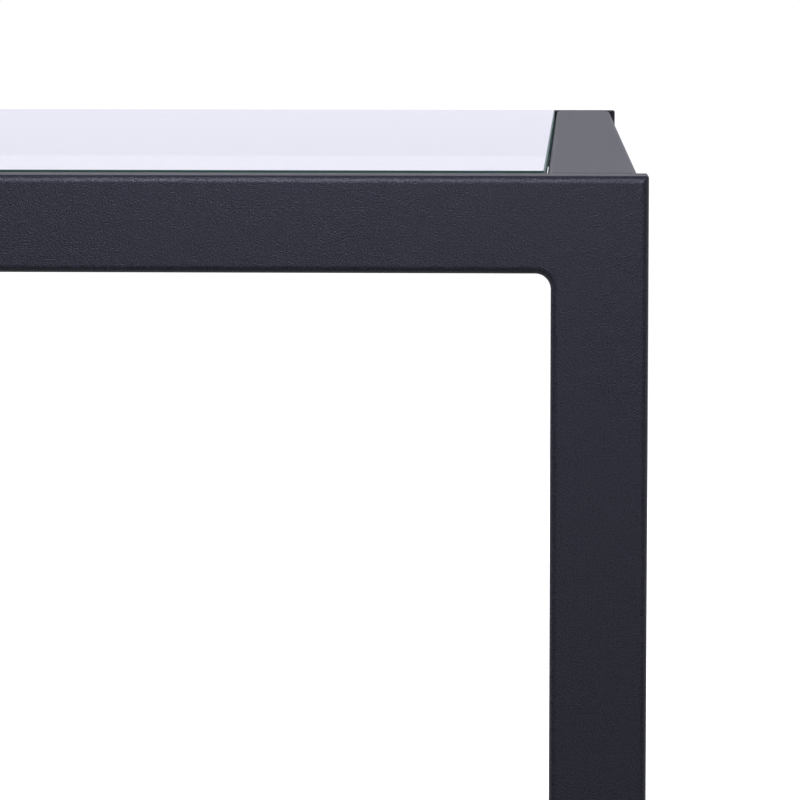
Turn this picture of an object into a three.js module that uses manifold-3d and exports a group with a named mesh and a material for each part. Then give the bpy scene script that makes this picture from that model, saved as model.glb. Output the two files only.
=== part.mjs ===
// A set of two nesting tables. Each has a glass top let in between square steel tubes, and the
// small one slides out sideways from under the large one. Millimetres, +Z up. The origin is on
// the floor, under the middle of the set as it is displayed, with the small table half out.
import * as THREE from "three";
import { mergeVertices } from "three/addons/utils/BufferGeometryUtils.js";
import Module from "manifold-3d";

const wasm = await Module();
wasm.setup();

// Overall sizes. X is the way the small table slides, and heights are to the top of the tubes.
const LARGE_WIDTH = 500;
const LARGE_LENGTH = 900;
const LARGE_HEIGHT = 500;
const NEST_GAP_SIDE = 15; // between the small table's ends and the large table's legs
const NEST_GAP_TOP = 20; // between the small table's top and the large table's side rails
const NEST_SETBACK = 20; // how far behind the large table's sides the nested small table stands
const SHOWN_PULL = 280; // how far out of the nest the small table is displayed

// Square tube. The end frames are welded from the larger one, and the side rails are the smaller.
const TUBE = 25;
const SIDE_TUBE = 24;
const TUBE_WALL = 1.2;
const TUBE_ROUND = 2;
const WELD_GAP = 0.3; // root gap of the mitred corner
const WELD_FILLET = 4; // radius of the weld inside the corner
const SIDE_RAIL_SET_IN = 2.2; // behind the outer faces of the end frames

// Glass top.
const GLASS_THICKNESS = 5;
const GLASS_PROUD = 0.5; // above the tubes
const GLASS_GAP = 0.5; // to the tubes on all four sides
const GLASS_CORNER = 2.5;
const GLASS_ARRIS = 0.4;

// Soft pads that the glass lies on.
const PAD_DIAMETER = 12;
const PAD_THICKNESS = 2;
const PAD_INSET = 16; // from the two sides of the opening

// Pressed corner bracket: a shelf under the glass, with a flange down each of the two rails.
const BRACKET_REACH = 32;
const BRACKET_CLIP = 12;
const BRACKET_SHEET = 2.5;
const BRACKET_DROP = 16.5;
const BRACKET_RELIEF = 4; // notch between the two flanges

// M6 button-head bolt and the rivet nut that it screws into.
const BOLT_SHANK = 6;
const BOLT_LENGTH = 16;
const BOLT_CHAMFER = 0.5;
const BOLT_HEAD = 10.5;
const BOLT_HEAD_HEIGHT = 3.3;
const BOLT_CROWN = 6; // flat ring on top of the head, around the socket
const BOLT_SOCKET = 4; // across flats
const BOLT_SOCKET_DEPTH = 2;
const BOLT_CLEARANCE = 0.3; // around the shank
const BOLT_INSET = 19; // from the corner of the opening
const NUT_SLEEVE = 9;
const NUT_LENGTH = 15;

// Plastic glide under each leg.
const GLIDE_BASE = 4;
const GLIDE_STEM = 14;
const GLIDE_CLEARANCE = 0.3;

const SMALL_WIDTH = LARGE_WIDTH - 2 * NEST_SETBACK;
const SMALL_LENGTH = LARGE_LENGTH - 2 * TUBE - 2 * NEST_GAP_SIDE;
const SMALL_HEIGHT = LARGE_HEIGHT - SIDE_TUBE - NEST_GAP_TOP;
const BOLT_HOLE = BOLT_SHANK + 2 * BOLT_CLEARANCE;
const QUARTER_TURN = Math.PI / 2;
const ROUND_SIDES = 16; // facets of pads, bolts and holes

const powderCoat = new THREE.MeshStandardMaterial({
  color: 0x35353e,
  roughness: 0.55,
  metalness: 0.1,
  flatShading: true,
});
const clearGlass = new THREE.MeshStandardMaterial({
  color: 0xcfe3e0,
  roughness: 0.05,
  metalness: 0,
  flatShading: true,
});
const zincPlate = new THREE.MeshStandardMaterial({
  color: 0xb4b6ba,
  roughness: 0.35,
  metalness: 0.9,
  flatShading: true,
});
const clearSilicone = new THREE.MeshStandardMaterial({
  color: 0xdcdfe0,
  roughness: 0.4,
  metalness: 0,
  flatShading: true,
});
const blackPlastic = new THREE.MeshStandardMaterial({
  color: 0x17171a,
  roughness: 0.6,
  metalness: 0,
  flatShading: true,
});

// A solid that can be joined and cut, from a closed geometry.
function solidFrom(geometry) {
  geometry.deleteAttribute("normal");
  geometry.deleteAttribute("uv");
  const merged = mergeVertices(geometry);
  const vertProperties = merged.attributes.position.array;
  const triVerts = new Uint32Array(merged.index.array);
  return new wasm.Manifold(new wasm.Mesh({ numProp: 3, vertProperties, triVerts }));
}

function geometryFrom(solid) {
  const { vertProperties, triVerts } = solid.getMesh();
  const geometry = new THREE.BufferGeometry();
  geometry.setAttribute("position", new THREE.BufferAttribute(vertProperties, 3));
  geometry.setIndex(new THREE.BufferAttribute(triVerts, 1));
  return geometry;
}

// Rectangle with round corners, centred on the origin.
function roundedRectangle(width, height, radius) {
  const x = width / 2 - radius;
  const y = height / 2 - radius;
  const outline = new THREE.Shape();
  outline.absarc(x, y, radius, 0, QUARTER_TURN);
  outline.absarc(-x, y, radius, QUARTER_TURN, 2 * QUARTER_TURN);
  outline.absarc(-x, -y, radius, 2 * QUARTER_TURN, 3 * QUARTER_TURN);
  outline.absarc(x, -y, radius, 3 * QUARTER_TURN, 4 * QUARTER_TURN);
  outline.closePath();
  return outline;
}

function extrude(outline, depth) {
  return new THREE.ExtrudeGeometry(outline, { depth, bevelEnabled: false, curveSegments: 2 });
}

// Round bar along +Z, from z = 0.
function roundBar(diameter, length) {
  const bar = new THREE.CylinderGeometry(diameter / 2, diameter / 2, length, ROUND_SIDES);
  return bar.rotateX(QUARTER_TURN).translate(0, 0, length / 2);
}

// Square tube along Z, centred. Its +Y side is the long one where an end is mitred at 45 degrees.
function squareTube(side, length, mitreBottom, mitreTop) {
  const section = roundedRectangle(side, side, TUBE_ROUND);
  const inside = side / 2 - TUBE_WALL;
  const hollow = new THREE.Path();
  hollow.moveTo(inside, inside);
  hollow.lineTo(-inside, inside);
  hollow.lineTo(-inside, -inside);
  hollow.lineTo(inside, -inside);
  hollow.closePath();
  section.holes.push(hollow);
  const tube = extrude(section, length).translate(0, 0, -length / 2);
  const points = tube.attributes.position;
  for (let i = 0; i < points.count; i += 1) {
    const atTop = points.getZ(i) > 0;
    if (atTop ? mitreTop : mitreBottom) {
      const cutBack = side / 2 - points.getY(i) + WELD_GAP / Math.SQRT2;
      points.setZ(i, (atTop ? 1 : -1) * (length / 2 - cutBack));
    }
  }
  return tube;
}

// Weld that fills the inside corner under a rail's end, from the corner towards -X. Its upper part
// is sunk in the rail's wall.
function weldFillet() {
  const outline = new THREE.Shape();
  outline.moveTo(0, TUBE_WALL);
  outline.lineTo(-WELD_FILLET, TUBE_WALL);
  outline.lineTo(-WELD_FILLET, 0);
  outline.absarc(-WELD_FILLET, -WELD_FILLET, WELD_FILLET, QUARTER_TURN, 0, true);
  outline.closePath();
  const across = TUBE - 2 * TUBE_ROUND;
  return extrude(outline, across).rotateX(QUARTER_TURN).translate(0, across / 2, -TUBE / 2);
}

const shelfTop = GLASS_PROUD - GLASS_THICKNESS - PAD_THICKNESS; // from the top of the tubes
const flangeMiddle = -BRACKET_SHEET - (BRACKET_DROP - BRACKET_SHEET) / 2; // from the shelf's top

// Rail along X with its long side up and its inner face to +Y, and a rivet nut near each end.
function rail(side, length, nutSpacing, mitred) {
  const tube = squareTube(side, length, mitred, mitred);
  const nutLevel = side / 2 + shelfTop + flangeMiddle;
  const along = new THREE.Vector3(1, 0, 0);
  const inwards = new THREE.Vector3(0, 1, 0);
  const up = new THREE.Vector3(0, 0, 1);
  tube.applyMatrix4(new THREE.Matrix4().makeBasis(inwards, up, along));
  let solid = solidFrom(tube);
  for (const way of [-1, 1]) {
    const x = (way * nutSpacing) / 2;
    const face = side / 2;
    const sleeve = roundBar(NUT_SLEEVE, NUT_LENGTH).rotateX(QUARTER_TURN);
    const bore = roundBar(BOLT_HOLE, NUT_LENGTH + 2).rotateX(QUARTER_TURN);
    solid = solid.add(solidFrom(sleeve.translate(x, face, nutLevel)));
    solid = solid.subtract(solidFrom(bore.translate(x, face + 1, nutLevel)));
    if (mitred) {
      const fillet = weldFillet();
      if (way < 0) fillet.rotateZ(2 * QUARTER_TURN);
      solid = solid.add(solidFrom(fillet.translate(way * (length / 2 - side), 0, 0)));
    }
  }
  return geometryFrom(solid);
}

// Bracket for the corner at the origin, reaching to +X and +Y, with the shelf's top at z = 0.
function cornerBracket() {
  const shelf = new THREE.Shape();
  shelf.moveTo(0, 0);
  shelf.lineTo(BRACKET_REACH, 0);
  shelf.lineTo(BRACKET_REACH, BRACKET_REACH - BRACKET_CLIP);
  shelf.lineTo(BRACKET_REACH - BRACKET_CLIP, BRACKET_REACH);
  shelf.lineTo(0, BRACKET_REACH);
  shelf.closePath();
  let solid = solidFrom(extrude(shelf, BRACKET_SHEET).translate(0, 0, -BRACKET_SHEET));
  const length = BRACKET_REACH - BRACKET_RELIEF;
  const middle = BRACKET_RELIEF + length / 2;
  const half = BRACKET_SHEET / 2;
  const holeLength = BRACKET_SHEET + 2;
  const xFlange = new THREE.BoxGeometry(length, BRACKET_SHEET, BRACKET_DROP);
  const yFlange = new THREE.BoxGeometry(BRACKET_SHEET, length, BRACKET_DROP);
  const xHole = roundBar(BOLT_HOLE, holeLength).rotateX(QUARTER_TURN);
  const yHole = roundBar(BOLT_HOLE, holeLength).rotateY(-QUARTER_TURN);
  solid = solid.add(solidFrom(xFlange.translate(middle, half, -BRACKET_DROP / 2)));
  solid = solid.add(solidFrom(yFlange.translate(half, middle, -BRACKET_DROP / 2)));
  solid = solid.subtract(solidFrom(xHole.translate(BOLT_INSET, BRACKET_SHEET + 1, flangeMiddle)));
  solid = solid.subtract(solidFrom(yHole.translate(BRACKET_SHEET + 1, BOLT_INSET, flangeMiddle)));
  return geometryFrom(solid);
}

// Bolt along Z with its head up and the head's underside at z = 0.
function buttonHeadBolt() {
  const shank = BOLT_SHANK / 2;
  const head = BOLT_HEAD / 2;
  const profile = [
    new THREE.Vector2(0, -BOLT_LENGTH),
    new THREE.Vector2(shank - BOLT_CHAMFER, -BOLT_LENGTH),
    new THREE.Vector2(shank, BOLT_CHAMFER - BOLT_LENGTH),
    new THREE.Vector2(shank, 0),
    new THREE.Vector2(head, 0),
    new THREE.Vector2(head, BOLT_HEAD_HEIGHT / 4),
    new THREE.Vector2((head + BOLT_CROWN / 2) / 2, BOLT_HEAD_HEIGHT * 0.8),
    new THREE.Vector2(BOLT_CROWN / 2, BOLT_HEAD_HEIGHT),
    new THREE.Vector2(0, BOLT_HEAD_HEIGHT),
  ];
  const bolt = new THREE.LatheGeometry(profile, ROUND_SIDES).rotateX(QUARTER_TURN);
  const socketRadius = BOLT_SOCKET / Math.sqrt(3);
  const socket = new THREE.CylinderGeometry(socketRadius, socketRadius, 2 * BOLT_SOCKET_DEPTH, 6);
  socket.rotateX(QUARTER_TURN).translate(0, 0, BOLT_HEAD_HEIGHT);
  return geometryFrom(solidFrom(bolt).subtract(solidFrom(socket)));
}

// Glide with its underside at z = 0 and its stem up inside the leg.
function legGlide() {
  const stemSide = TUBE - 2 * TUBE_WALL - 2 * GLIDE_CLEARANCE;
  const base = extrude(roundedRectangle(TUBE, TUBE, TUBE_ROUND), GLIDE_BASE);
  const stem = new THREE.BoxGeometry(stemSide, stemSide, GLIDE_STEM + GLIDE_BASE / 2);
  stem.translate(0, 0, GLIDE_BASE / 2 + (GLIDE_STEM + GLIDE_BASE / 2) / 2);
  return geometryFrom(solidFrom(base).add(solidFrom(stem)));
}

// Sheet of glass, centred, with its underside at z = 0 and its edges ground to a small arris.
function glassSheet(width, length) {
  const outline = roundedRectangle(width, length, GLASS_CORNER);
  const sheet = new THREE.ExtrudeGeometry(outline, {
    depth: GLASS_THICKNESS - 2 * GLASS_ARRIS,
    bevelThickness: GLASS_ARRIS,
    bevelSize: GLASS_ARRIS,
    bevelOffset: -GLASS_ARRIS,
    bevelSegments: 1,
    curveSegments: 2,
  });
  return sheet.translate(0, 0, GLASS_ARRIS);
}

function named(name, geometry, material) {
  const mesh = new THREE.Mesh(geometry, material);
  mesh.name = name;
  return mesh;
}

// The four corners, and the quarter turns that carry the front left one there.
const corners = [
  { name: "front_left", x: -1, y: -1, turns: 0 },
  { name: "front_right", x: 1, y: -1, turns: 1 },
  { name: "back_right", x: 1, y: 1, turns: 2 },
  { name: "back_left", x: -1, y: 1, turns: 3 },
];

// One table, centred on its own Z axis, with its feet at z = 0.
function table(prefix, width, length, height) {
  const group = new THREE.Group();
  const openingX = width / 2 - SIDE_RAIL_SET_IN - SIDE_TUBE; // inner faces of the side rails
  const openingY = length / 2 - TUBE; // inner faces of the end frames

  const endRail = rail(TUBE, width, 2 * (openingX - BOLT_INSET), true);
  const sideRail = rail(SIDE_TUBE, 2 * openingY, 2 * (openingY - BOLT_INSET), false);
  const endY = openingY + TUBE / 2;
  const sideX = openingX + SIDE_TUBE / 2;
  const endZ = height - TUBE / 2;
  const sideZ = height - SIDE_TUBE / 2;
  const rails = [
    { name: "end_rail_front", geometry: endRail, place: [0, -endY, endZ], turns: 0 },
    { name: "side_rail_right", geometry: sideRail, place: [sideX, 0, sideZ], turns: 1 },
    { name: "end_rail_back", geometry: endRail, place: [0, endY, endZ], turns: 2 },
    { name: "side_rail_left", geometry: sideRail, place: [-sideX, 0, sideZ], turns: 3 },
  ];
  for (const { name, geometry, place, turns } of rails) {
    const mesh = named(`${prefix}_${name}`, geometry, powderCoat);
    mesh.position.set(...place);
    mesh.rotation.z = turns * QUARTER_TURN;
    group.add(mesh);
  }

  const legLength = height - GLIDE_BASE;
  const leg = squareTube(TUBE, legLength, false, true);
  const glide = legGlide();
  const bracket = cornerBracket();
  const bolt = buttonHeadBolt();
  const pad = roundBar(PAD_DIAMETER, PAD_THICKNESS);
  for (const { name, x, y, turns } of corners) {
    const legMesh = named(`${prefix}_leg_${name}`, leg, powderCoat);
    legMesh.position.x = x * (width / 2 - TUBE / 2);
    legMesh.position.y = y * (length / 2 - TUBE / 2);
    legMesh.position.z = GLIDE_BASE + legLength / 2;
    legMesh.rotation.z = -x * QUARTER_TURN;
    const glideMesh = named(`${prefix}_glide_${name}`, glide, blackPlastic);
    glideMesh.position.set(legMesh.position.x, legMesh.position.y, 0);

    const corner = new THREE.Group();
    corner.position.set(x * openingX, y * openingY, height + shelfTop);
    corner.rotation.z = turns * QUARTER_TURN;
    const padMesh = named(`${prefix}_pad_${name}`, pad, clearSilicone);
    padMesh.position.set(PAD_INSET, PAD_INSET, 0);
    // The bolt on the corner's own X side holds the end rail, or the side rail in the odd turns.
    const [onX, onY] = turns % 2 === 0 ? ["end", "side"] : ["side", "end"];
    const xBolt = named(`${prefix}_${onX}_bolt_${name}`, bolt, zincPlate);
    xBolt.position.set(BOLT_INSET, BRACKET_SHEET, flangeMiddle);
    xBolt.rotation.x = -QUARTER_TURN;
    const yBolt = named(`${prefix}_${onY}_bolt_${name}`, bolt, zincPlate);
    yBolt.position.set(BRACKET_SHEET, BOLT_INSET, flangeMiddle);
    yBolt.rotation.y = QUARTER_TURN;
    corner.add(named(`${prefix}_bracket_${name}`, bracket, powderCoat), padMesh, xBolt, yBolt);
    group.add(legMesh, glideMesh, corner);
  }

  const sheet = glassSheet(2 * (openingX - GLASS_GAP), 2 * (openingY - GLASS_GAP));
  const glassMesh = named(`${prefix}_glass_top`, sheet, clearGlass);
  glassMesh.position.z = height + GLASS_PROUD - GLASS_THICKNESS;
  group.add(glassMesh);
  return group;
}

const set = new THREE.Group();
const large = table("large", LARGE_WIDTH, LARGE_LENGTH, LARGE_HEIGHT);
large.position.x = (SHOWN_PULL - NEST_SETBACK) / 2;
const small = table("small", SMALL_WIDTH, SMALL_LENGTH, SMALL_HEIGHT);
small.position.x = large.position.x - SHOWN_PULL;
set.add(large, small);

export default set;
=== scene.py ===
"""Nesting tables: welded charcoal tube frames, flush glass tops and their small fittings."""

import math

import bmesh
import bpy
from mathutils import Matrix, Vector


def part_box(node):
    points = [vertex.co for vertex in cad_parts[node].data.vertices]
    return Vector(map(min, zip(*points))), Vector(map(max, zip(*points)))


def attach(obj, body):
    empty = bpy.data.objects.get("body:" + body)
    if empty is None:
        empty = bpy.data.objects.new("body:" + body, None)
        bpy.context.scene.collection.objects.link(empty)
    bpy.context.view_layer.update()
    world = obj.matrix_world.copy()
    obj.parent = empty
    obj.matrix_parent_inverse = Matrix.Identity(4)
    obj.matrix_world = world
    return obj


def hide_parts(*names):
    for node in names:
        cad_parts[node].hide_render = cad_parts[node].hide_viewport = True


bl_info = {
    "name": "Nesting Tables",
    "version": (1, 0, 0),
    "blender": (4, 5, 0),
    "location": "View3D > Sidebar > Nesting Tables",
    "description": "Builds a set of two glass-topped nesting tables round their fixed frame",
    "category": "Object",
}

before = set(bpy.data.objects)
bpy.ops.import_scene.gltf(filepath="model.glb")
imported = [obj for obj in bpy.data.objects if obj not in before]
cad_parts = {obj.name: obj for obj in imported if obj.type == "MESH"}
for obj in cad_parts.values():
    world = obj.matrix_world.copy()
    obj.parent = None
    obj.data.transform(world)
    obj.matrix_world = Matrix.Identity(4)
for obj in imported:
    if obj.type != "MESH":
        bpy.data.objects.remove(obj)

MM = 0.001
TABLES = ("large", "small")
ENDS = ("front", "back")
SIDES = ("left", "right")
CORNERS = tuple(f"{end}_{side}" for end in ENDS for side in SIDES)
CORNER_TURNS = {"front_left": 0, "front_right": 1, "back_right": 2, "back_left": 3}  # quarter turns
ARC_STEPS = 6  # facets in a quarter of a small rounding
LENGTH_STEPS = 8  # stretches in a straight tube
ROUND_SIDES = 48  # facets round a bolt head or a pad
GLASS_DENSITY = 8.0  # strength of the glass's tint, per metre
GLASS_SHADOW = (0.93, 0.96, 0.95, 1.0)  # share of the light that a sheet lets through

AIR_LEVEL = 0.38  # brightness of the white paper all round, as a soft light
BOARD_SIZE = 80.0
BOARD_SHADED_GLOW = 0.5  # brightness that the floor gives off by itself under the tables, lowered there as a painted shadow pool
BOARD_RIM_GLOW = 0.72  # the same, well away from the tables
SHADE_POOL_REACH = (0.5, 1.6)  # from the middle of the floor, where the brightness starts and ends rising out of the painted shadow pool
CARD_FADE = (-0.9, 0.0)  # along Y, where the mirrored card gives way to the mirrored floor
ROOM_LEVEL = 0.15  # brightness of the mirrored room, away from the lit backdrop
BACKDROP_LEVEL = 1.12  # brightness of the mirrored backdrop
BACKDROP_TOP_FADE = (0.08, 0.45)  # sine of the height above the horizon, where the backdrop fades out
BACKDROP_SIDE_FADE = (0.0, 0.7)  # share of +Y in a direction, where the backdrop fades in

# A softbox is (place, aim, width and height, watts, whether the finishes mirror it). The front one
# lights the faces, the strip glints on the front rail's upper edge, and the fill reaches the back.
# All of them are flagged off the glass.
SOFTBOXES = {
    "front": ((0.6, -1.9, 0.95), (0.6, 0.0, 0.95), (1.2, 0.9), 5.2, True),
    "strip": ((0.26, -0.70, 0.78), (0.22, -0.45, 0.5), (0.2, 0.12), 1.3, True),
    "fill": ((0.9, 3.2, 1.6), (0.0, 0.4, 0.3), (2.0, 1.2), 40.0, False),
}

# The camera stands in front of the large table's right-hand front corner, a little above its top.
CAMERA_OFFSET = Vector((-20.55, -1160.5, 38.72)) * MM  # from that corner
CAMERA_PITCH = 4.72  # degrees down
CAMERA_YAW = 2.12  # degrees to the left
CAMERA_ROLL = -0.06  # degrees
CAMERA_LENS = 204.87  # mm
CAMERA_SENSOR = 36.0  # mm


# ---------------------------------------------------------------- settings


class NestingTablesSizes(bpy.types.PropertyGroup):
    """Fine sizes that finish the frame's pieces."""

    edge_round: bpy.props.FloatProperty(
        name="Tube edge",
        description="Radius of the square tube's long edges",
        default=2.0 * MM, unit="LENGTH",
    )
    corner_round: bpy.props.FloatProperty(
        name="Ground corner",
        description="Radius left on the outside of a mitred corner after grinding",
        default=0.5 * MM, unit="LENGTH",
    )
    weld_round: bpy.props.FloatProperty(
        name="Weld fillet",
        description="Radius of the dressed weld inside a corner",
        default=4.0 * MM, unit="LENGTH",
    )
    glass_corner: bpy.props.FloatProperty(
        name="Glass corner",
        description="Radius of the glass's four corners",
        default=2.5 * MM, unit="LENGTH",
    )
    glass_arris: bpy.props.FloatProperty(
        name="Glass arris",
        description="Width of the ground and polished arris round the glass",
        default=0.4 * MM, unit="LENGTH",
    )
    sheet_round: bpy.props.FloatProperty(
        name="Sheet edge",
        description="Radius of a pressed bracket's cut edges",
        default=0.5 * MM, unit="LENGTH",
    )
    bracket_sheet: bpy.props.FloatProperty(
        name="Bracket sheet",
        description="Thickness of the steel that the brackets are pressed from",
        default=2.5 * MM, unit="LENGTH",
    )
    bracket_bend: bpy.props.FloatProperty(
        name="Bracket bend",
        description="Radius inside a bracket's folds",
        default=1.0 * MM, unit="LENGTH",
    )
    bracket_clip: bpy.props.FloatProperty(
        name="Bracket clip",
        description="Length clipped from each side of a bracket's free corner",
        default=12.0 * MM, unit="LENGTH",
    )
    bracket_foot: bpy.props.FloatProperty(
        name="Flange clip",
        description="Length clipped from the lower corners of a bracket's flanges",
        default=4.0 * MM, unit="LENGTH",
    )
    bracket_relief: bpy.props.FloatProperty(
        name="Bracket relief",
        description="Gap between a flange and the other rail, where the two folds meet",
        default=4.0 * MM, unit="LENGTH",
    )
    screw_shank: bpy.props.FloatProperty(
        name="Screw thread", description="Diameter of the M6 screws",
        default=6.0 * MM, unit="LENGTH",
    )
    screw_length: bpy.props.FloatProperty(
        name="Screw length", description="Length of a screw under its head",
        default=16.0 * MM, unit="LENGTH",
    )
    screw_head: bpy.props.FloatProperty(
        name="Screw head", description="Height of a button head",
        default=3.3 * MM, unit="LENGTH",
    )
    screw_socket: bpy.props.FloatProperty(
        name="Screw socket", description="Width across the flats of the hexagon socket",
        default=4.0 * MM, unit="LENGTH",
    )
    bumper_swell: bpy.props.FloatProperty(
        name="Bumper swell", description="How far a squeezed glass bumper bulges at its rim",
        default=0.4 * MM, unit="LENGTH",
    )
    glide_round: bpy.props.FloatProperty(
        name="Glide foot",
        description="Radius round the underside of a plastic glide",
        default=1.0 * MM, unit="LENGTH",
    )
    glide_lip: bpy.props.FloatProperty(
        name="Glide lip",
        description="Radius round the top of a plastic glide, against the tube",
        default=0.3 * MM, unit="LENGTH",
    )
    coat_grain: bpy.props.FloatProperty(
        name="Coat grain",
        description="Spacing of the bumps in the textured powder coat",
        default=0.4 * MM, unit="LENGTH",
    )
    coat_relief: bpy.props.FloatProperty(
        name="Coat relief",
        description="Height of the bumps in the textured powder coat",
        default=0.2 * MM, unit="LENGTH",
    )


class NestingTablesColours(bpy.types.PropertyGroup):
    """Colours of the finishes, as sRGB hex values."""

    powder_coat: bpy.props.StringProperty(
        name="Powder coat", description="Charcoal of the tubes and brackets", default="#30303A",
    )
    # Painted shade: a darker charcoal mixed into the pits between the coat's bumps, where shade would
    # fall
    coat_pits: bpy.props.StringProperty(
        name="Coat pits", description="Charcoal between the bumps of the coat", default="#16161E",
    )
    glass_tint: bpy.props.StringProperty(
        name="Glass tint", description="Green that float glass shows along its length",
        default="#9CCFC0",
    )
    glass_edge: bpy.props.StringProperty(
        name="Glass edge", description="Green of the ground edge", default="#45726E",
    )
    zinc: bpy.props.StringProperty(
        name="Zinc", description="Bright zinc plate of the bolts", default="#B9BCC2",
    )
    silicone: bpy.props.StringProperty(
        name="Silicone", description="Clear pads under the glass", default="#E6EAEA",
    )
    glide_plastic: bpy.props.StringProperty(
        name="Glides", description="Black plastic of the feet", default="#141416",
    )
    floor: bpy.props.StringProperty(
        name="Floor", description="Pale studio floor", default="#FBFBFC",
    )
    card: bpy.props.StringProperty(
        name="Card", description="Dark card on the floor in front, as the finishes mirror it",
        default="#48484C",
    )
    mirrored_floor: bpy.props.StringProperty(
        name="Mirrored floor", description="The rest of the floor, as the finishes mirror it",
        default="#B4B4B8",
    )
    daylight: bpy.props.StringProperty(
        name="Daylight", description="Cool light of the softboxes", default="#E6E6FF",
    )
    backdrop: bpy.props.StringProperty(
        name="Backdrop", description="Lit paper behind the tables, as the finishes mirror it",
        default="#E8E8F5",
    )


def sizes():
    return bpy.context.scene.nesting_tables_sizes


def colours():
    return bpy.context.scene.nesting_tables_colours


# ---------------------------------------------------------------- materials


def linear(hex_colour):
    """A linear RGBA colour from an sRGB hex value."""
    channels = [int(hex_colour[i:i + 2], 16) / 255 for i in (1, 3, 5)]
    bent = [c / 12.92 if c <= 0.04045 else ((c + 0.055) / 1.055) ** 2.4 for c in channels]
    return (*bent, 1.0)


def add_node(tree, kind, settings=None, **inputs):
    """Adds a node. An input is a value, or the output socket to link. In an input's name, _ stands for
    a space, and _0 is the first input."""
    node = tree.nodes.new(kind)
    for name, value in (settings or {}).items():
        setattr(node, name, value)
    for name, value in inputs.items():
        socket = node.inputs[int(name[1:])] if name[1:].isdigit() else node.inputs[name.replace("_", " ")]
        if isinstance(value, bpy.types.NodeSocket):
            tree.links.new(value, socket)
        else:
            socket.default_value = value
    return node


def new_material(name):
    """An empty material and its node tree."""
    material = bpy.data.materials.new(name)
    material.use_nodes = True
    material.node_tree.nodes.clear()
    return material, material.node_tree


def finish_surface(tree, surface, volume=None):
    """Links a surface, and a volume if there is one, to a new output node."""
    output = add_node(tree, "ShaderNodeOutputMaterial")
    tree.links.new(surface, output.inputs["Surface"])
    if volume is not None:
        tree.links.new(volume, output.inputs["Volume"])


def textured_powder_coat():
    """Polyester powder, sprayed and baked: a satin film with fine bumps that glint on an edge."""
    material, tree = new_material("textured_powder_coat")
    place = add_node(tree, "ShaderNodeTexCoord").outputs["Object"]
    grain = sizes().coat_grain
    wave = 9 * grain  # spacing of the film's long, low waves
    bumps = add_node(tree, "ShaderNodeTexNoise", Vector=place, Scale=1 / grain, Detail=2.0,
                     Roughness=0.6)
    waves = add_node(tree, "ShaderNodeTexNoise", Vector=place, Scale=1 / wave, Detail=1.0)
    film = add_node(tree, "ShaderNodeBump", Height=waves.outputs["Fac"], Strength=0.25,
                    Distance=sizes().coat_relief)
    relief = add_node(tree, "ShaderNodeBump", Height=bumps.outputs["Fac"], Strength=1.0,
                      Distance=sizes().coat_relief, Normal=film.outputs["Normal"])
    dull = add_node(tree, "ShaderNodeMapRange", Value=bumps.outputs["Fac"], From_Min=0.3,
                    From_Max=0.7, To_Min=0.3, To_Max=0.4)
    # The pits between the bumps take the darker colour: painted shade in the hollows, on top of the
    # bumps' own relief.
    crest = add_node(tree, "ShaderNodeMapRange", Value=bumps.outputs["Fac"], From_Min=0.35,
                     From_Max=0.65)
    shade = add_node(tree, "ShaderNodeMix", {"data_type": "RGBA"}, Factor=crest.outputs["Result"],
                     _6=linear(colours().coat_pits), _7=linear(colours().powder_coat))
    coat = add_node(tree, "ShaderNodeBsdfPrincipled", Base_Color=shade.outputs[2],
                    Roughness=dull.outputs["Result"], IOR=1.5, Normal=relief.outputs["Normal"])
    finish_surface(tree, coat.outputs["BSDF"])
    return material


def clear_float_glass():
    """Tempered float glass, clear through its thickness and green along its length."""
    material, tree = new_material("clear_float_glass")
    body = add_node(tree, "ShaderNodeBsdfPrincipled", Base_Color=(1.0, 1.0, 1.0, 1.0),
                    Roughness=0.0, IOR=1.52, Transmission_Weight=1.0)
    clear = add_node(tree, "ShaderNodeBsdfTransparent", Color=GLASS_SHADOW)
    path = add_node(tree, "ShaderNodeLightPath")
    mixed = add_node(tree, "ShaderNodeMixShader", _0=path.outputs["Is Shadow Ray"],
                     _1=body.outputs["BSDF"], _2=clear.outputs["BSDF"])
    tint = add_node(tree, "ShaderNodeVolumeAbsorption", Color=linear(colours().glass_tint),
                    Density=GLASS_DENSITY)
    finish_surface(tree, mixed.outputs["Shader"], tint.outputs["Volume"])
    return material


def ground_glass_edge():
    """The glass's edge, ground and seamed: matt, and dark green with the light from inside the sheet."""
    material, tree = new_material("ground_glass_edge")
    place = add_node(tree, "ShaderNodeTexCoord").outputs["Object"]
    wheel = add_node(tree, "ShaderNodeTexNoise", Vector=place, Scale=1 / (0.8 * MM), Detail=2.0)
    rough = add_node(tree, "ShaderNodeMapRange", Value=wheel.outputs["Fac"], To_Min=0.3, To_Max=0.5)
    edge = add_node(tree, "ShaderNodeBsdfPrincipled", Base_Color=linear(colours().glass_edge),
                    Roughness=rough.outputs["Result"], IOR=1.52, Transmission_Weight=0.25)
    finish_surface(tree, edge.outputs["BSDF"])
    return material


def bright_zinc_plate():
    """Barrel-plated steel: a clean metal with a faint tumbled haze."""
    material, tree = new_material("bright_zinc_plate")
    place = add_node(tree, "ShaderNodeTexCoord").outputs["Object"]
    haze = add_node(tree, "ShaderNodeTexNoise", Vector=place, Scale=1 / (1.2 * MM), Detail=3.0)
    rough = add_node(tree, "ShaderNodeMapRange", Value=haze.outputs["Fac"], To_Min=0.2, To_Max=0.4)
    plate = add_node(tree, "ShaderNodeBsdfPrincipled", Base_Color=linear(colours().zinc),
                     Metallic=1.0, Roughness=rough.outputs["Result"])
    finish_surface(tree, plate.outputs["BSDF"])
    return material


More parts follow.
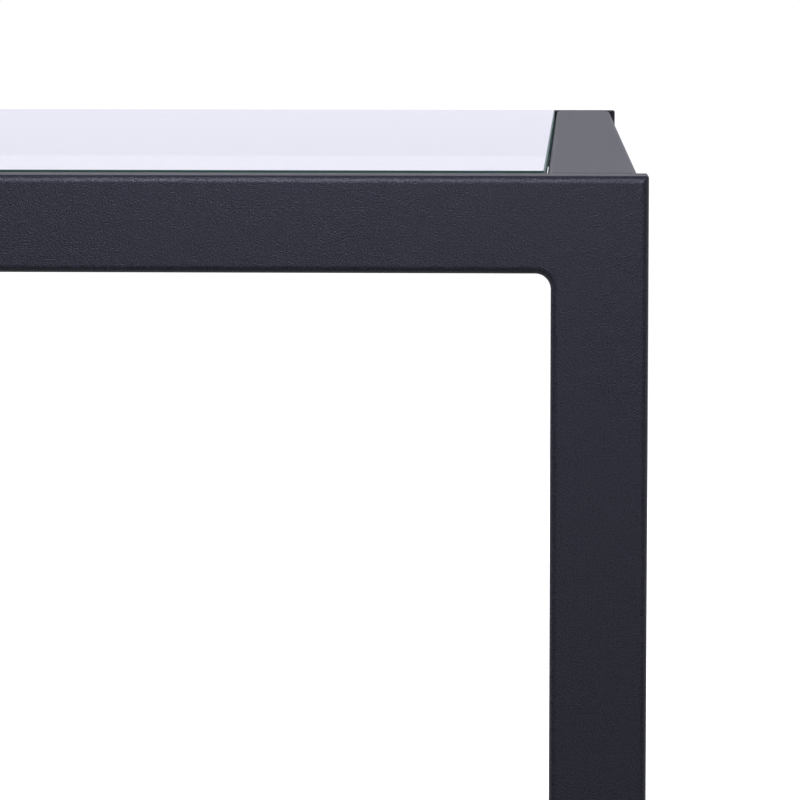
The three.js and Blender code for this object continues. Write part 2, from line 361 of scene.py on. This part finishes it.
def clear_silicone():
    """Cast silicone: soft, cloudy and half clear."""
    material, tree = new_material("clear_silicone")
    place = add_node(tree, "ShaderNodeTexCoord").outputs["Object"]
    cloud = add_node(tree, "ShaderNodeTexNoise", Vector=place, Scale=1 / (2.5 * MM), Detail=2.0)
    rough = add_node(tree, "ShaderNodeMapRange", Value=cloud.outputs["Fac"], To_Min=0.25,
                     To_Max=0.45)
    rubber = add_node(tree, "ShaderNodeBsdfPrincipled", Base_Color=linear(colours().silicone),
                      Roughness=rough.outputs["Result"], IOR=1.41, Transmission_Weight=0.6)
    finish_surface(tree, rubber.outputs["BSDF"])
    return material


def moulded_polyethylene():
    """Injection-moulded plastic with a fine spark-eroded texture."""
    material, tree = new_material("moulded_polyethylene")
    place = add_node(tree, "ShaderNodeTexCoord").outputs["Object"]
    pits = add_node(tree, "ShaderNodeTexNoise", Vector=place, Scale=1 / (0.4 * MM), Detail=2.0)
    texture = add_node(tree, "ShaderNodeBump", Height=pits.outputs["Fac"], Strength=0.6,
                       Distance=0.02 * MM)
    plastic = add_node(tree, "ShaderNodeBsdfPrincipled", Base_Color=linear(colours().glide_plastic),
                       Roughness=0.5, IOR=1.51, Normal=texture.outputs["Normal"])
    finish_surface(tree, plastic.outputs["BSDF"])
    return material


def mirrored_ray(tree):
    """1 for a ray that a glossy finish has mirrored, else 0."""
    path = add_node(tree, "ShaderNodeLightPath")
    ray = add_node(tree, "ShaderNodeMath", {"operation": "MULTIPLY"},
                   _0=path.outputs["Is Glossy Ray"], _1=path.outputs["Is Reflection Ray"])
    return ray.outputs["Value"]


def opal_board():
    """Opal acrylic shooting table, lit from below: pale, and it takes a soft shadow round the feet. It
    gives off less light under the tables, as a painted shadow pool. The finishes mirror it dimmer, and a
    dark card in front darkens the legs' lower ends."""
    material, tree = new_material("opal_board")
    place = add_node(tree, "ShaderNodeTexCoord").outputs["Object"]
    smooth = {"interpolation_type": "SMOOTHSTEP"}
    away = add_node(tree, "ShaderNodeVectorMath", {"operation": "LENGTH"}, _0=place)
    near, far = SHADE_POOL_REACH
    # Less light given off near the middle, under the tables: a painted shadow pool.
    shade_pool_glow = add_node(tree, "ShaderNodeMapRange", smooth, Value=away.outputs["Value"], From_Min=near,
                    From_Max=far, To_Min=BOARD_SHADED_GLOW, To_Max=BOARD_RIM_GLOW)
    opal = linear(colours().floor)
    board = add_node(tree, "ShaderNodeBsdfDiffuse", Color=opal)
    lamp = add_node(tree, "ShaderNodeEmission", Color=opal, Strength=shade_pool_glow.outputs["Result"])
    glowing = add_node(tree, "ShaderNodeAddShader", _0=board.outputs["BSDF"],
                       _1=lamp.outputs["Emission"])
    axis = add_node(tree, "ShaderNodeSeparateXYZ", Vector=place)
    start, end = CARD_FADE
    behind = add_node(tree, "ShaderNodeMapRange", smooth, Value=axis.outputs["Y"], From_Min=start,
                      From_Max=end)
    tone = add_node(tree, "ShaderNodeMix", {"data_type": "RGBA"}, Factor=behind.outputs["Result"],
                    _6=linear(colours().card), _7=linear(colours().mirrored_floor))
    card = add_node(tree, "ShaderNodeEmission", Color=tone.outputs[2])
    path = add_node(tree, "ShaderNodeLightPath")
    seen = add_node(tree, "ShaderNodeMath", {"operation": "ADD", "use_clamp": True},
                    _0=mirrored_ray(tree), _1=path.outputs["Is Diffuse Ray"])
    shown = add_node(tree, "ShaderNodeMixShader", _0=seen.outputs["Value"],
                     _1=glowing.outputs["Shader"], _2=card.outputs["Emission"])
    finish_surface(tree, shown.outputs["Shader"])
    return material


MATERIALS = {
    "powder_coat": textured_powder_coat,
    "glass": clear_float_glass,
    "glass_edge": ground_glass_edge,
    "zinc_plate": bright_zinc_plate,
    "silicone": clear_silicone,
    "glide_plastic": moulded_polyethylene,
}


def finish_of(slot):
    """The material of a slot, or of the glass's edge, made when it is first asked for."""
    wanted = MATERIALS[slot].__name__
    return bpy.data.materials.get(wanted) or MATERIALS[slot]()


def studio_air():
    """White paper all round, which lights the tables evenly. The finishes mirror it as a lit backdrop
    behind the tables and a dim room elsewhere."""
    world = bpy.data.worlds.new("studio_air")
    world.use_nodes = True
    tree = world.node_tree
    tree.nodes.clear()
    way = add_node(tree, "ShaderNodeTexCoord").outputs["Generated"]
    axis = add_node(tree, "ShaderNodeSeparateXYZ", Vector=way)
    smooth = {"interpolation_type": "SMOOTHSTEP"}
    full, none = BACKDROP_TOP_FADE
    low = add_node(tree, "ShaderNodeMapRange", smooth, Value=axis.outputs["Z"], From_Min=full,
                   From_Max=none, To_Min=1.0, To_Max=0.0)
    none, full = BACKDROP_SIDE_FADE
    behind = add_node(tree, "ShaderNodeMapRange", smooth, Value=axis.outputs["Y"], From_Min=none,
                      From_Max=full)
    lit = add_node(tree, "ShaderNodeMath", {"operation": "MULTIPLY"}, _0=low.outputs["Result"],
                   _1=behind.outputs["Result"])
    level = add_node(tree, "ShaderNodeMapRange", Value=lit.outputs["Value"], To_Min=ROOM_LEVEL,
                     To_Max=BACKDROP_LEVEL)
    room = add_node(tree, "ShaderNodeBackground", Color=linear(colours().backdrop),
                    Strength=level.outputs["Result"])
    air = add_node(tree, "ShaderNodeBackground", Color=(1, 1, 1, 1), Strength=AIR_LEVEL)
    paper = add_node(tree, "ShaderNodeBackground", Color=(1, 1, 1, 1), Strength=1.0)
    path = add_node(tree, "ShaderNodeLightPath")
    soft = add_node(tree, "ShaderNodeMixShader", _0=path.outputs["Is Diffuse Ray"],
                    _1=paper.outputs["Background"], _2=air.outputs["Background"])
    shown = add_node(tree, "ShaderNodeMixShader", _0=mirrored_ray(tree),
                     _1=soft.outputs["Shader"], _2=room.outputs["Background"])
    output = add_node(tree, "ShaderNodeOutputWorld")
    tree.links.new(shown.outputs["Shader"], output.inputs["Surface"])
    return world


def softbox(name, place, aim, size, watts, mirrored):
    """A soft rectangular light that looks at a point."""
    light = bpy.data.lights.new(name, "AREA")
    light.shape = "RECTANGLE"
    light.size, light.size_y = size
    light.energy = watts
    light.color = linear(colours().daylight)[:3]
    lamp = bpy.data.objects.new(name, light)
    lamp.location = place
    lamp.rotation_euler = (Vector(aim) - Vector(place)).to_track_quat("-Z", "Y").to_euler()
    lamp.visible_camera = False
    lamp.visible_transmission = False
    lamp.visible_glossy = mirrored
    bpy.context.scene.collection.objects.link(lamp)
    return lamp


def keep_off(lamp, pieces):
    """Flags a lamp off some pieces, so that its outline doesn't show in them."""
    flagged = bpy.data.collections.new(f"{lamp.name}_kept_off")
    for piece in pieces:
        flagged.objects.link(piece)
    lamp.light_linking.receiver_collection = flagged
    for entry in flagged.collection_objects:
        entry.light_linking.link_state = "EXCLUDE"


# ---------------------------------------------------------------- shapes


def add_piece(name, mesh, slot, table, nodes):
    """Links a mesh as a piece that rides with a table and stands for some of its nodes."""
    piece = bpy.data.objects.new(name, mesh)
    bpy.context.scene.collection.objects.link(piece)
    mesh.materials.append(finish_of(slot))
    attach(piece, f"{table}_table")
    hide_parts(*nodes)
    return piece


def mesh_of(name, work, smooth=True):
    """A mesh from a bmesh, with its normals facing out."""
    bmesh.ops.recalc_face_normals(work, faces=work.faces)
    for face in work.faces:
        face.smooth = smooth
    mesh = bpy.data.meshes.new(name)
    work.to_mesh(mesh)
    work.free()
    return mesh


def skin(work, rings, closed_ends=True):
    """Joins closed rings of points into a skin, and closes its two ends."""
    rows = [[work.verts.new(point) for point in ring] for ring in rings]
    for one, two in zip(rows, rows[1:]):
        for i, _ in enumerate(one):
            j = (i + 1) % len(one)
            work.faces.new((one[i], one[j], two[j], two[i]))
    if closed_ends:
        for cap in (work.faces.new(reversed(rows[0])), work.faces.new(rows[-1])):
            for edge in cap.edges:
                edge.smooth = False
    return rows


def weigh_normals(piece):
    """Keeps broad flat faces flat in the shading, beside their small roundings."""
    weighted = piece.modifiers.new("flat_faces", "WEIGHTED_NORMAL")
    weighted.keep_sharp = True
    weighted.weight = 100


def quarter(steps=ARC_STEPS):
    """Angles from 0 to a quarter turn."""
    return [math.pi / 2 * i / steps for i in range(steps + 1)]


def rounded_rectangle(x0, y0, x1, y1, radius, inset=0.0):
    """Points round a rectangle with round corners, drawn in by an inset."""
    r = max(radius - inset, 0.02 * MM)
    low_x, low_y, high_x, high_y = x0 + inset + r, y0 + inset + r, x1 - inset - r, y1 - inset - r
    centres = ((high_x, high_y), (low_x, high_y), (low_x, low_y), (high_x, low_y))
    points = []
    for turn, (x, y) in enumerate(centres):
        for angle in quarter():
            way = angle + turn * math.pi / 2
            points.append((x + r * math.cos(way), y + r * math.sin(way)))
    return points


def slab(work, x0, y0, z0, x1, y1, z1, radius, edge_low, edge_high, chamfer=False):
    """A flat block with round corners, and a rounding or chamfer round each of its two faces."""
    turns = (0.0, math.pi / 2) if chamfer else quarter()
    rings = []
    for angle in turns:
        inset = edge_low * (1 - math.sin(angle))
        z = z0 + edge_low * (1 - math.cos(angle))
        rings.append([(x, y, z) for x, y in rounded_rectangle(x0, y0, x1, y1, radius, inset)])
    for angle in reversed(turns):
        inset = edge_high * (1 - math.sin(angle))
        z = z1 - edge_high * (1 - math.cos(angle))
        rings.append([(x, y, z) for x, y in rounded_rectangle(x0, y0, x1, y1, radius, inset)])
    skin(work, rings)


def end_frame_mesh(name, low, high, tube):
    """Two legs and a rail welded and ground into one seamless frame, seen from the front as a gate."""
    edge, ground, weld = sizes().edge_round, sizes().corner_round, sizes().weld_round
    reach = tube + weld  # from an outer face to the centre of the weld fillet
    half = (high.y - low.y) / 2
    middle = (high.y + low.y) / 2
    first = math.atan2(reach - ground, reach)  # the ray through the start of the ground corner

    def across(left, angle, inset):
        """Inner and outer point of the frame's face, where a ray from the fillet's centre cuts it."""
        way = 1 if left else -1
        centre_x = low.x + reach if left else high.x - reach
        centre_z = high.z - reach
        inner_x = -(weld + inset) * math.cos(angle)
        inner_z = (weld + inset) * math.sin(angle)
        if angle < first:
            outer_x, outer_z = inset - reach, reach * math.tan(angle)
        elif angle > math.pi / 2 - first:
            outer_x, outer_z = -reach / math.tan(angle), reach - inset
        else:
            turn = (angle - first) / (math.pi / 2 - 2 * first) * math.pi / 2
            left_over = max(ground - inset, 0.01 * MM)
            outer_x = inset + left_over - reach - left_over * math.cos(turn)
            outer_z = reach - inset - left_over + left_over * math.sin(turn)
        return ((centre_x + way * inner_x, centre_z + inner_z),
                (centre_x + way * outer_x, centre_z + outer_z))

    def down_leg(left, z, inset):
        """Inner and outer point of a leg's face at a height."""
        outer = low.x + inset if left else high.x - inset
        inner = low.x + tube - inset if left else high.x - tube + inset
        return (inner, z), (outer, z)

    steps = [i / ARC_STEPS for i in range(ARC_STEPS + 1)]
    ground_angles = [first + (math.pi / 2 - 2 * first) * step for step in steps]
    on_leg = [first * i / ARC_STEPS for i in range(ARC_STEPS)]
    angles = [*on_leg, *ground_angles, *[math.pi / 2 - angle for angle in reversed(on_leg)]]
    leg_height = high.z - reach - low.z
    leg_levels = [low.z + leg_height * i / LENGTH_STEPS for i in range(LENGTH_STEPS)]
    stations = [lambda inset, z=z: down_leg(True, z, inset) for z in leg_levels]
    stations += [lambda inset, a=a: across(True, a, inset) for a in angles]
    stations += [lambda inset, a=a: across(False, a, inset) for a in reversed(angles)]
    stations += [lambda inset, z=z: down_leg(False, z, inset) for z in reversed(leg_levels)]

    rings = []
    for station in stations:
        ring = []
        for side, y_way, turns in ((0, 1, quarter()), (1, 1, quarter()[::-1]),
                                   (1, -1, quarter()), (0, -1, quarter()[::-1])):
            for angle in turns:
                inset = edge * (1 - math.cos(angle))
                y = middle + y_way * (half - edge + edge * math.sin(angle))
                x, z = station(inset)[side]
                ring.append((x, y, z))
        rings.append(ring)
    work = bmesh.new()
    skin(work, rings)
    bmesh.ops.remove_doubles(work, verts=work.verts, dist=0.001 * MM)
    return mesh_of(name, work)


def bar_mesh(name, low, high):
    """A straight square tube along Y, with rounded long edges."""
    work = bmesh.new()
    outline = rounded_rectangle(low.x, low.z, high.x, high.z, sizes().edge_round)
    stops = [low.y + (high.y - low.y) * i / LENGTH_STEPS for i in range(LENGTH_STEPS + 1)]
    skin(work, [[(x, y, z) for x, z in outline] for y in stops])
    return mesh_of(name, work)


def circle(radius, height):
    """Points round a level circle about Z."""
    turn = [2 * math.pi * i / ROUND_SIDES for i in range(ROUND_SIDES)]
    return [(radius * math.cos(a), radius * math.sin(a), height) for a in turn]


def turned_mesh(name, profile):
    """A round body turned about Z, from (radius, height) points that start and end on the axis."""
    work = bmesh.new()
    rings = [circle(radius, height) for radius, height in profile[1:-1]]
    rows = skin(work, rings, closed_ends=False)
    for row, (_, height) in ((rows[0], profile[0]), (rows[-1], profile[-1])):
        hub = work.verts.new((0, 0, height))
        for i, vert in enumerate(row):
            work.faces.new((hub, vert, row[(i + 1) % ROUND_SIDES]))
    return mesh_of(name, work)


def button_head_mesh(name, head):
    """An M6 button-head bolt along Z with a hexagon socket, the head's underside at z = 0."""
    height, length, thread = sizes().screw_head, sizes().screw_length, sizes().screw_shank / 2
    flat = sizes().screw_socket / 2
    crown = 0.29 * head  # radius of the flat on top of the dome
    rim = 0.2 * height  # height of the head's upright rim
    floor = 0.38 * height  # height of the socket's floor
    break_edge = 0.15 * MM
    point = 0.5 * MM  # chamfer on the thread's tip
    cone = 0.5 * flat  # radius of the drill cone under the socket
    sixth = math.pi / 3

    def hexagon(apothem, z):
        points = []
        for x, y, _ in circle(1.0, 0.0):
            lean = (math.atan2(y, x) + sixth / 2) % sixth - sixth / 2
            points.append((x * apothem / math.cos(lean), y * apothem / math.cos(lean), z))
        return points

    rings = [circle(thread - point, -length), circle(thread, point - length), circle(thread, 0.0)]
    rings += [circle(head / 2 - break_edge, 0.0), circle(head / 2, break_edge)]
    for angle in quarter(2 * ARC_STEPS):
        radius = crown + (head / 2 - crown) * math.cos(angle)
        rings.append(circle(radius, rim + (height - rim) * math.sin(angle)))
    rings += [hexagon(flat + break_edge, height), hexagon(flat, height - break_edge)]
    rings += [hexagon(flat, floor), circle(cone, floor - 2 * break_edge)]
    work = bmesh.new()
    skin(work, rings)
    return mesh_of(name, work)


def bracket_mesh(name, reach, drop):
    """The mid-surface of a bracket, cut flat and folded down along X and Y. The finished shelf's top
    lies at z = 0, and the flanges' outer faces on the two axes."""
    sheet, foot = sizes().bracket_sheet, sizes().bracket_foot
    fold = sizes().bracket_bend + sheet / 2
    start = fold + sheet / 2  # where the flat shelf ends and a fold begins
    relief = max(sizes().bracket_relief, start)
    cut = reach - sizes().bracket_clip
    work = bmesh.new()

    def flat(points):
        work.faces.new([work.verts.new(point) for point in points])

    def turned(on_x, points):
        """Points of the flange along X, or swapped for the one along Y."""
        return [(x, y, z) if on_x else (y, x, z) for x, y, z in points]

    level = -sheet / 2
    shelf = [(start, start), (relief, start), (reach, start), (reach, cut), (cut, reach),
             (start, reach), (start, relief)]
    flat([(x, y, level) for x, y in shelf])
    curve = [(start - fold * math.sin(a), level - fold + fold * math.cos(a)) for a in quarter()]
    off, low = curve[-1]
    tab = [(relief, low), (reach, low), (reach, foot - drop), (reach - foot, -drop),
           (relief + foot, -drop), (relief, foot - drop)]
    for on_x in (True, False):
        for (y0, z0), (y1, z1) in zip(curve, curve[1:]):
            flat(turned(on_x, [(relief, y0, z0), (reach, y0, z0), (reach, y1, z1), (relief, y1, z1)]))
        flat(turned(on_x, [(x, off, z) for x, z in tab]))
    bmesh.ops.remove_doubles(work, verts=work.verts, dist=0.01 * MM)
    return mesh_of(name, work)


def press_sheet(piece):
    """Gives a mid-surface its thickness and softens the sheared edges."""
    thick = piece.modifiers.new("sheet", "SOLIDIFY")
    thick.thickness = sizes().bracket_sheet
    thick.offset = 0.0
    thick.use_even_offset = True
    rim = piece.modifiers.new("sheared_edge", "BEVEL")
    rim.width = sizes().sheet_round
    rim.segments = 2
    rim.limit_method = "ANGLE"
    rim.angle_limit = math.radians(40)
    weigh_normals(piece)


# ---------------------------------------------------------------- pieces


def corner_matrix(table, corner):
    """Places a fitting drawn at the origin, reaching to +X and +Y, into a corner of the opening."""
    end, side = corner.split("_")
    low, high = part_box(f"{table}_bracket_{corner}")
    x = low.x if side == "left" else high.x
    y = low.y if end == "front" else high.y
    turn = Matrix.Rotation(CORNER_TURNS[corner] * math.pi / 2, 4, "Z")
    return Matrix.Translation((x, y, high.z)) @ turn


class NESTING_OT_end_frames(bpy.types.Operator):
    """Weld two legs and a rail into each seamless end frame"""

    bl_idname = "nesting.end_frames"
    bl_label = "End Frames"

    def execute(self, context):
        for table in TABLES:
            for end in ENDS:
                _, rail_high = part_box(f"{table}_end_rail_{end}")
                low, left_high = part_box(f"{table}_leg_{end}_left")
                _, right_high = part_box(f"{table}_leg_{end}_right")
                high = Vector((right_high.x, right_high.y, rail_high.z))
                tube = left_high.x - low.x
                mesh = end_frame_mesh(f"{table}_end_frame_{end}", low, high, tube)
                legs = [f"{table}_leg_{end}_{side}" for side in SIDES]
                piece = add_piece(mesh.name, mesh, "powder_coat", table,
                                  [f"{table}_end_rail_{end}", *legs])
                weigh_normals(piece)
        return {"FINISHED"}


class NESTING_OT_side_rails(bpy.types.Operator):
    """Set the side rails between the end frames"""

    bl_idname = "nesting.side_rails"
    bl_label = "Side Rails"

    def execute(self, context):
        for table in TABLES:
            _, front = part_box(f"{table}_end_rail_front")
            back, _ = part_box(f"{table}_end_rail_back")
            for side in SIDES:
                node = f"{table}_side_rail_{side}"
                low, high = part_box(node)
                # A bolted rail butts against the end frames, so it is drawn right up to them.
                mesh = bar_mesh(f"{table}_side_tube_{side}", Vector((low.x, front.y, low.z)),
                                Vector((high.x, back.y, high.z)))
                weigh_normals(add_piece(mesh.name, mesh, "powder_coat", table, [node]))
        return {"FINISHED"}


class NESTING_OT_glass_tops(bpy.types.Operator):
    """Lay a sheet of glass into each frame"""

    bl_idname = "nesting.glass_tops"
    bl_label = "Glass Tops"

    def execute(self, context):
        for table in TABLES:
            node = f"{table}_glass_top"
            low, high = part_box(node)
            work = bmesh.new()
            arris = sizes().glass_arris
            slab(work, *low, *high, sizes().glass_corner, arris, arris, chamfer=True)
            mesh = mesh_of(f"{table}_glass_sheet", work, smooth=False)
            add_piece(mesh.name, mesh, "glass", table, [node])
            mesh.materials.append(finish_of("glass_edge"))
            for face in mesh.polygons:
                level = abs(face.normal.z) > 0.99
                face.material_index = 0 if level else 1
        return {"FINISHED"}


class NESTING_OT_brackets(bpy.types.Operator):
    """Press a bracket for each corner of the openings"""

    bl_idname = "nesting.brackets"
    bl_label = "Corner Brackets"

    def execute(self, context):
        for table in TABLES:
            for corner in CORNERS:
                node = f"{table}_bracket_{corner}"
                low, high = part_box(node)
                mesh = bracket_mesh(f"{table}_angle_{corner}", high.x - low.x, high.z - low.z)
                mesh.transform(corner_matrix(table, corner))
                press_sheet(add_piece(mesh.name, mesh, "powder_coat", table, [node]))
        return {"FINISHED"}


class NESTING_OT_bolts(bpy.types.Operator):
    """Screw the button-head bolts through the brackets"""

    bl_idname = "nesting.bolts"
    bl_label = "Bolts"

    def execute(self, context):
        for table in TABLES:
            for corner in CORNERS:
                end, side = corner.split("_")
                for rail in ("end", "side"):
                    node = f"{table}_{rail}_bolt_{corner}"
                    low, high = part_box(node)
                    mesh = button_head_mesh(f"{table}_{rail}_screw_{corner}", high.z - low.z)
                    if rail == "end":
                        inward = Vector((0, 1 if end == "front" else -1, 0))
                    else:
                        inward = Vector((1 if side == "left" else -1, 0, 0))
                    seat = (low + high) / 2 + inward * (sizes().screw_length - sizes().screw_head) / 2
                    turn = Vector((0, 0, 1)).rotation_difference(inward).to_matrix().to_4x4()
                    mesh.transform(Matrix.Translation(seat) @ turn)
                    weigh_normals(add_piece(mesh.name, mesh, "zinc_plate", table, [node]))
        return {"FINISHED"}


class NESTING_OT_pads(bpy.types.Operator):
    """Put a soft pad between each bracket and the glass"""

    bl_idname = "nesting.pads"
    bl_label = "Pads"

    def execute(self, context):
        for table in TABLES:
            for corner in CORNERS:
                node = f"{table}_pad_{corner}"
                low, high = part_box(node)
                radius, height = (high.x - low.x) / 2, high.z - low.z
                swell = sizes().bumper_swell
                profile = [(0, 0), (radius - swell, 0)]
                for angle in quarter()[1:]:
                    profile.append((radius - swell + swell * math.sin(angle),
                                    height / 2 * (1 - math.cos(angle))))
                profile += [(r, height - z) for r, z in reversed(profile)]
                mesh = turned_mesh(f"{table}_bumper_{corner}", profile)
                mesh.transform(Matrix.Translation(((low.x + high.x) / 2, (low.y + high.y) / 2, low.z)))
                weigh_normals(add_piece(mesh.name, mesh, "silicone", table, [node]))
        return {"FINISHED"}


class NESTING_OT_glides(bpy.types.Operator):
    """Press a plastic glide into the foot of each leg"""

    bl_idname = "nesting.glides"
    bl_label = "Glides"

    def execute(self, context):
        for table in TABLES:
            for corner in CORNERS:
                node = f"{table}_glide_{corner}"
                low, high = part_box(node)
                leg_low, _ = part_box(f"{table}_leg_{corner}")
                work = bmesh.new()
                slab(work, low.x, low.y, low.z, high.x, high.y, leg_low.z, sizes().edge_round,
                     sizes().glide_round, sizes().glide_lip)
                mesh = mesh_of(f"{table}_foot_{corner}", work)
                weigh_normals(add_piece(mesh.name, mesh, "glide_plastic", table, [node]))
        return {"FINISHED"}


class NESTING_OT_studio(bpy.types.Operator):
    """Set out the pale floor, the soft lights and the camera"""

    bl_idname = "nesting.studio"
    bl_label = "Studio"

    def execute(self, context):
        scene = context.scene
        half = BOARD_SIZE / 2
        mesh = bpy.data.meshes.new("floor")
        corners = [(-half, -half, 0), (half, -half, 0), (half, half, 0), (-half, half, 0)]
        mesh.from_pydata(corners, [], [(0, 1, 2, 3)])
        mesh.materials.append(opal_board())
        floor = bpy.data.objects.new("floor", mesh)
        scene.collection.objects.link(floor)

        scene.world = studio_air()
        scene.view_settings.view_transform = "Standard"
        sheets = [bpy.data.objects[f"{table}_glass_sheet"] for table in TABLES]
        for name, settings in SOFTBOXES.items():
            keep_off(softbox(name, *settings), sheets)

        low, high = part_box("large_leg_front_right")
        lens = bpy.data.cameras.new("camera")
        lens.lens = CAMERA_LENS
        lens.sensor_width = CAMERA_SENSOR
        lens.clip_end = 2 * BOARD_SIZE
        camera = bpy.data.objects.new("camera", lens)
        camera.location = Vector((high.x, low.y, high.z)) + CAMERA_OFFSET
        camera.rotation_euler = [math.radians(a) for a in (90 - CAMERA_PITCH, CAMERA_ROLL, CAMERA_YAW)]
        scene.collection.objects.link(camera)
        scene.camera = camera
        return {"FINISHED"}


class NESTING_PT_panel(bpy.types.Panel):
    """Lists the sizes, the colours and the pieces"""

    bl_idname = "NESTING_PT_panel"
    bl_label = "Nesting Tables"
    bl_space_type = "VIEW_3D"
    bl_region_type = "UI"
    bl_category = "Nesting Tables"

    def draw(self, context):
        for group in (sizes(), colours()):
            box = self.layout.box()
            for name in group.__annotations__:
                box.prop(group, name)
        for operator in OPERATORS:
            self.layout.operator(operator.bl_idname)


OPERATORS = (
    NESTING_OT_end_frames,
    NESTING_OT_side_rails,
    NESTING_OT_glass_tops,
    NESTING_OT_brackets,
    NESTING_OT_bolts,
    NESTING_OT_pads,
    NESTING_OT_glides,
    NESTING_OT_studio,
)
CLASSES = (NestingTablesSizes, NestingTablesColours, *OPERATORS, NESTING_PT_panel)


def register():
    for cls in CLASSES:
        bpy.utils.register_class(cls)
    scene_type = bpy.types.Scene
    scene_type.nesting_tables_sizes = bpy.props.PointerProperty(type=NestingTablesSizes)
    scene_type.nesting_tables_colours = bpy.props.PointerProperty(type=NestingTablesColours)


def unregister():
    del bpy.types.Scene.nesting_tables_colours
    del bpy.types.Scene.nesting_tables_sizes
    for cls in reversed(CLASSES):
        bpy.utils.unregister_class(cls)


def main():
    register()
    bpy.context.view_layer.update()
    for operator in OPERATORS:
        group, name = operator.bl_idname.split(".")
        getattr(getattr(bpy.ops, group), name)()


if __name__ == "__main__":
    main()
